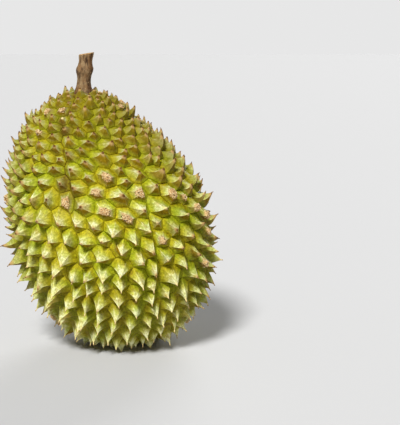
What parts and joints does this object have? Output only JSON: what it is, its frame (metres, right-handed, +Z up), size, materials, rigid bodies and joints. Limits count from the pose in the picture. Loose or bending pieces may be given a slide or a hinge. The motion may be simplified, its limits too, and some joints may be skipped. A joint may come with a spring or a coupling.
{
  "type": "durian",
  "caption": "Lopsided, tapering tropical fruit covered in broad-based spines, standing on worn tips, with a woody stalk.",
  "frame": {"origin": "on the plane of the worn spine tips that the fruit stands on, under the middle of the whole box", "axes": "+Z up along the fruit towards its stalk, -Y out of its broad front"},
  "size_m": [0.2182, 0.1994, 0.2932],
  "materials": {
    "husk": "waxy green and yellow rind with brown tips",
    "stalk": "dry grey-brown bark, paler at the cut end"
  },
  "bodies": {
    "root": {"husk": "husk", "stalk": "stalk"}
  },
  "joints": []
}
